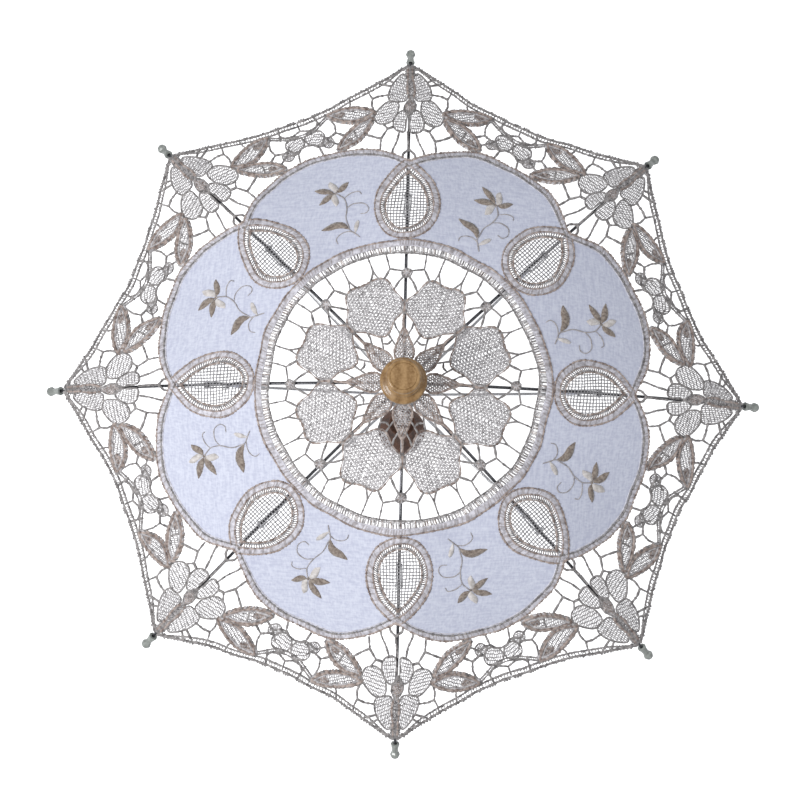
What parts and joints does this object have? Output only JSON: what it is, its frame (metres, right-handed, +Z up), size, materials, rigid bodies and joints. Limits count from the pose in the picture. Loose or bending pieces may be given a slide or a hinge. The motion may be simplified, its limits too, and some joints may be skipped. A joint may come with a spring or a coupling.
{
  "type": "lace parasol",
  "caption": "Small folding lace parasol with a turned wooden ferrule and handle, a tube shaft, curved metal ribs and an embroidered lace and linen canopy.",
  "frame": {"origin": "the middle of the hand grip, on the shaft's axis", "axes": "+Z up the shaft towards the ferrule; +X out along the first rib"},
  "size_m": [0.4196, 0.4196, 0.356],
  "materials": {
    "handle_wood": "dark stained turned wood, satin lacquer",
    "ferrule_wood": "golden turned wood, satin lacquer",
    "shaft_steel": "thin drawn tube, satin",
    "rib_steel": "black lacquered steel rod",
    "stretcher_steel": "plated steel rod",
    "steel": "plain steel wire and pins",
    "crown_plastic": "moulded off-white plastic",
    "tip_plastic": "translucent moulded tip with a round bead",
    "lace": "beige cotton guipure lace, satin stitched edges",
    "linen": "fine plain-woven white linen",
    "embroidery": "taupe satin-stitch thread"
  },
  "bodies": {
    "shaft_frame": {"handle": "handle_wood", "handle_pin": "steel", "shaft": "shaft_steel", "crown": "crown_plastic", "crown_wire": "steel", "crown_pin": "steel", "ferrule": "ferrule_wood", "canopy_rosette": "lace", "canopy_washer": "steel", "stop_pin": "steel"},
    "rib_1": {"rib_1": "rib_steel", "rib_tip_1": "tip_plastic", "canopy_panel_1": "lace", "joint_rivet_1": "steel"},
    "rib_2": {"rib_2": "rib_steel", "rib_tip_2": "tip_plastic", "canopy_panel_2": "lace", "joint_rivet_2": "steel"},
    "rib_3": {"rib_3": "rib_steel", "rib_tip_3": "tip_plastic", "canopy_panel_3": "lace", "joint_rivet_3": "steel"},
    "rib_4": {"rib_4": "rib_steel", "rib_tip_4": "tip_plastic", "canopy_panel_4": "lace", "joint_rivet_4": "steel"},
    "rib_5": {"rib_5": "rib_steel", "rib_tip_5": "tip_plastic", "canopy_panel_5": "lace", "joint_rivet_5": "steel"},
    "rib_6": {"rib_6": "rib_steel", "rib_tip_6": "tip_plastic", "canopy_panel_6": "lace", "joint_rivet_6": "steel"},
    "rib_7": {"rib_7": "rib_steel", "rib_tip_7": "tip_plastic", "canopy_panel_7": "lace", "joint_rivet_7": "steel"},
    "rib_8": {"rib_8": "rib_steel", "rib_tip_8": "tip_plastic", "canopy_panel_8": "lace", "joint_rivet_8": "steel"},
    "stretcher_1": {"stretcher_1": "stretcher_steel"},
    "stretcher_2": {"stretcher_2": "stretcher_steel"},
    "stretcher_3": {"stretcher_3": "stretcher_steel"},
    "stretcher_4": {"stretcher_4": "stretcher_steel"},
    "stretcher_5": {"stretcher_5": "stretcher_steel"},
    "stretcher_6": {"stretcher_6": "stretcher_steel"},
    "stretcher_7": {"stretcher_7": "stretcher_steel"},
    "stretcher_8": {"stretcher_8": "stretcher_steel"},
    "runner": {"runner": "crown_plastic", "runner_wire": "steel"},
    "top_catch": {"top_catch": "steel"},
    "bottom_catch": {"bottom_catch": "steel"}
  },
  "joints": [
    {"name": "rib_1_fold", "type": "hinge", "parent": "shaft_frame", "child": "rib_1", "pos_m": [0.007, 0, 0.28], "axis": [0, 1, 0], "range_deg": [0, 63.5], "deforming": ["canopy_panel_1", "top_catch", "bottom_catch"]},
    {"name": "rib_2_fold", "type": "hinge", "parent": "shaft_frame", "child": "rib_2", "pos_m": [0.00495, 0.00495, 0.28], "axis": [-0.7071, 0.7071, 0], "range_deg": [0, 63.5], "deforming": ["canopy_panel_2"]},
    {"name": "rib_3_fold", "type": "hinge", "parent": "shaft_frame", "child": "rib_3", "pos_m": [0, 0.007, 0.28], "axis": [-1, 0, 0], "range_deg": [0, 63.5], "deforming": ["canopy_panel_3"]},
    {"name": "rib_4_fold", "type": "hinge", "parent": "shaft_frame", "child": "rib_4", "pos_m": [-0.00495, 0.00495, 0.28], "axis": [-0.7071, -0.7071, 0], "range_deg": [0, 63.5], "deforming": ["canopy_panel_4"]},
    {"name": "rib_5_fold", "type": "hinge", "parent": "shaft_frame", "child": "rib_5", "pos_m": [-0.007, 0, 0.28], "axis": [0, -1, 0], "range_deg": [0, 63.5], "deforming": ["canopy_panel_5"]},
    {"name": "rib_6_fold", "type": "hinge", "parent": "shaft_frame", "child": "rib_6", "pos_m": [-0.00495, -0.00495, 0.28], "axis": [0.7071, -0.7071, 0], "range_deg": [0, 63.5], "deforming": ["canopy_panel_6"]},
    {"name": "rib_7_fold", "type": "hinge", "parent": "shaft_frame", "child": "rib_7", "pos_m": [0, -0.007, 0.28], "axis": [1, 0, 0], "range_deg": [0, 63.5], "deforming": ["canopy_panel_7"]},
    {"name": "rib_8_fold", "type": "hinge", "parent": "shaft_frame", "child": "rib_8", "pos_m": [0.00495, -0.00495, 0.28], "axis": [0.7071, 0.7071, 0], "range_deg": [0, 63.5], "deforming": ["canopy_panel_8"]},
    {"name": "stretcher_1_swing", "type": "hinge", "parent": "rib_1", "child": "stretcher_1", "pos_m": [0.11073, 0, 0.24877], "axis": [0, 1, 0], "range_deg": [-127, 0]},
    {"name": "stretcher_2_swing", "type": "hinge", "parent": "rib_2", "child": "stretcher_2", "pos_m": [0.0783, 0.0783, 0.24877], "axis": [-0.7071, 0.7071, 0], "range_deg": [-127, 0]},
    {"name": "stretcher_3_swing", "type": "hinge", "parent": "rib_3", "child": "stretcher_3", "pos_m": [0, 0.11073, 0.24877], "axis": [-1, 0, 0], "range_deg": [-127, 0]},
    {"name": "stretcher_4_swing", "type": "hinge", "parent": "rib_4", "child": "stretcher_4", "pos_m": [-0.0783, 0.0783, 0.24877], "axis": [-0.7071, -0.7071, 0], "range_deg": [-127, 0]},
    {"name": "stretcher_5_swing", "type": "hinge", "parent": "rib_5", "child": "stretcher_5", "pos_m": [-0.11073, 0, 0.24877], "axis": [0, -1, 0], "range_deg": [-127, 0]},
    {"name": "stretcher_6_swing", "type": "hinge", "parent": "rib_6", "child": "stretcher_6", "pos_m": [-0.0783, -0.0783, 0.24877], "axis": [0.7071, -0.7071, 0], "range_deg": [-127, 0]},
    {"name": "stretcher_7_swing", "type": "hinge", "parent": "rib_7", "child": "stretcher_7", "pos_m": [0, -0.11073, 0.24877], "axis": [1, 0, 0], "range_deg": [-127, 0]},
    {"name": "stretcher_8_swing", "type": "hinge", "parent": "rib_8", "child": "stretcher_8", "pos_m": [0.0783, -0.0783, 0.24877], "axis": [0.7071, 0.7071, 0], "range_deg": [-127, 0]},
    {"name": "runner_travel", "type": "hinge", "parent": "stretcher_1", "child": "runner", "pos_m": [0.007, 0, 0.21754], "axis": [0, 1, 0], "range_deg": [0, 63.5]},
    {"name": "top_catch_press", "type": "hinge", "parent": "shaft_frame", "child": "top_catch", "pos_m": [0, 0, 0.17424], "axis": [0.3827, -0.9239, 0], "range_deg": [0, 6.5], "stiffness_Nm_per_rad": 0.4},
    {"name": "bottom_catch_press", "type": "hinge", "parent": "shaft_frame", "child": "bottom_catch", "pos_m": [0, 0, 0.09236], "axis": [-0.3827, 0.9239, 0], "range_deg": [0, 6.5], "stiffness_Nm_per_rad": 0.4}
  ],
  "couplings": [
    {"joint": "rib_2_fold", "follows": "rib_1_fold", "ratio": 1},
    {"joint": "rib_3_fold", "follows": "rib_1_fold", "ratio": 1},
    {"joint": "rib_4_fold", "follows": "rib_1_fold", "ratio": 1},
    {"joint": "rib_5_fold", "follows": "rib_1_fold", "ratio": 1},
    {"joint": "rib_6_fold", "follows": "rib_1_fold", "ratio": 1},
    {"joint": "rib_7_fold", "follows": "rib_1_fold", "ratio": 1},
    {"joint": "rib_8_fold", "follows": "rib_1_fold", "ratio": 1},
    {"joint": "stretcher_1_swing", "follows": "rib_1_fold", "ratio": -2},
    {"joint": "stretcher_2_swing", "follows": "rib_1_fold", "ratio": -2},
    {"joint": "stretcher_3_swing", "follows": "rib_1_fold", "ratio": -2},
    {"joint": "stretcher_4_swing", "follows": "rib_1_fold", "ratio": -2},
    {"joint": "stretcher_5_swing", "follows": "rib_1_fold", "ratio": -2},
    {"joint": "stretcher_6_swing", "follows": "rib_1_fold", "ratio": -2},
    {"joint": "stretcher_7_swing", "follows": "rib_1_fold", "ratio": -2},
    {"joint": "stretcher_8_swing", "follows": "rib_1_fold", "ratio": -2},
    {"joint": "runner_travel", "follows": "rib_1_fold", "ratio": 1}
  ]
}
